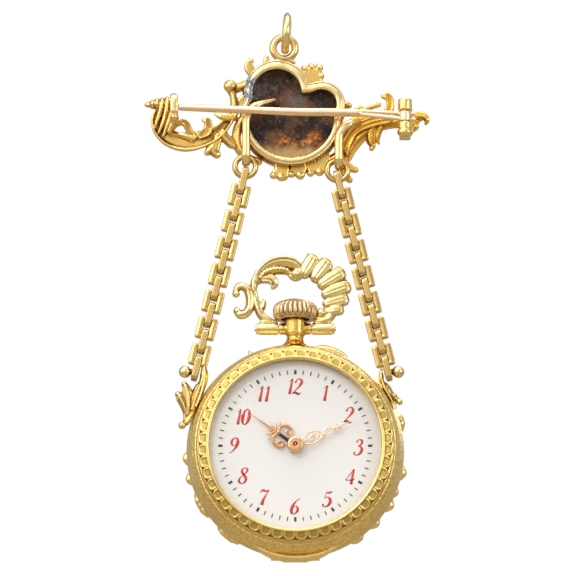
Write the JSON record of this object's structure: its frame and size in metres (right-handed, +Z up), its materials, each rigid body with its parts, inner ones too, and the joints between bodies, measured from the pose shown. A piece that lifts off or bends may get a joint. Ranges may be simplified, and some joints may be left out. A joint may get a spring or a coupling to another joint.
{
  "type": "chatelaine watch pin",
  "caption": "Scrollwork brooch with a hinged pin, two brick-link chains and an open-face pendant watch with a turning crown, swinging bow, moving hands and hinged back.",
  "frame": {"origin": "on the axis of the pin stem at its mid-length, where the brooch is pinned on", "axes": "+Z up as the jewel hangs, +X to the right as the dial is read, the dial and the back of the brooch face -Y"},
  "size_m": [0.0377, 0.0099, 0.0734],
  "materials": {
    "scroll_gold": "cast yellow gold, satin with darker hollows",
    "frame_gold": "pale worn gold, polished",
    "chain_gold": "pale gold, softly polished",
    "case_gold": "stippled satin yellow gold",
    "rose_gold": "polished rose gold",
    "crystal_glass": "clear polished glass",
    "dial_enamel": "glossy white enamel, fired on copper"
  },
  "bodies": {
    "brooch": {"brooch_mount": "scroll_gold", "hinge_barrel": "frame_gold", "hang_ring": "frame_gold", "chain_left": "chain_gold", "chain_right": "chain_gold"},
    "pin_body": {"pin": "rose_gold"},
    "watch": {"watch_case": "case_gold", "bezel": "case_gold", "crystal": "crystal_glass", "dial": "dial_enamel", "lug_left": "scroll_gold", "lug_right": "scroll_gold", "lug_pin_left": "scroll_gold", "lug_pin_right": "scroll_gold"},
    "bow_body": {"bow": "scroll_gold", "bow_tubes": "case_gold"},
    "crown_body": {"crown": "rose_gold"},
    "minute_body": {"minute_hand": "rose_gold"},
    "hour_body": {"hour_hand": "rose_gold"},
    "cover_body": {"back_cover": "case_gold", "back_border": "scroll_gold"}
  },
  "joints": [
    {"name": "pin_swing", "type": "hinge", "parent": "brooch", "child": "pin_body", "pos_m": [0.0148, 0, -0.0006], "axis": [0, 0, 1], "range_deg": [0, 75]},
    {"name": "watch_swing", "type": "hinge", "parent": "brooch", "child": "watch", "pos_m": [0.0003, 0.0028, -0.03441], "axis": [1, 0, 0], "range_deg": [-60, 60]},
    {"name": "bow_swing", "type": "hinge", "parent": "watch", "child": "bow_body", "pos_m": [0.0003, 0.0028, -0.02865], "axis": [1, 0, 0], "range_deg": [-90, 90]},
    {"name": "crown_turn", "type": "hinge", "parent": "watch", "child": "crown_body", "pos_m": [0.0003, 0.0028, -0.0265], "axis": [0, 0, 1], "continuous": true},
    {"name": "minute_turn", "type": "hinge", "parent": "watch", "child": "minute_body", "pos_m": [0.0003, 0, -0.04485], "axis": [0, 1, 0], "continuous": true},
    {"name": "hour_turn", "type": "hinge", "parent": "watch", "child": "hour_body", "pos_m": [0.0003, 0, -0.04485], "axis": [0, 1, 0], "continuous": true},
    {"name": "cover_open", "type": "hinge", "parent": "watch", "child": "cover_body", "pos_m": [0.0003, 0.0047, -0.059], "axis": [-1, 0, 0], "range_deg": [0, 95]}
  ],
  "couplings": [
    {"joint": "hour_turn", "follows": "minute_turn", "ratio": 0.083333}
  ]
}
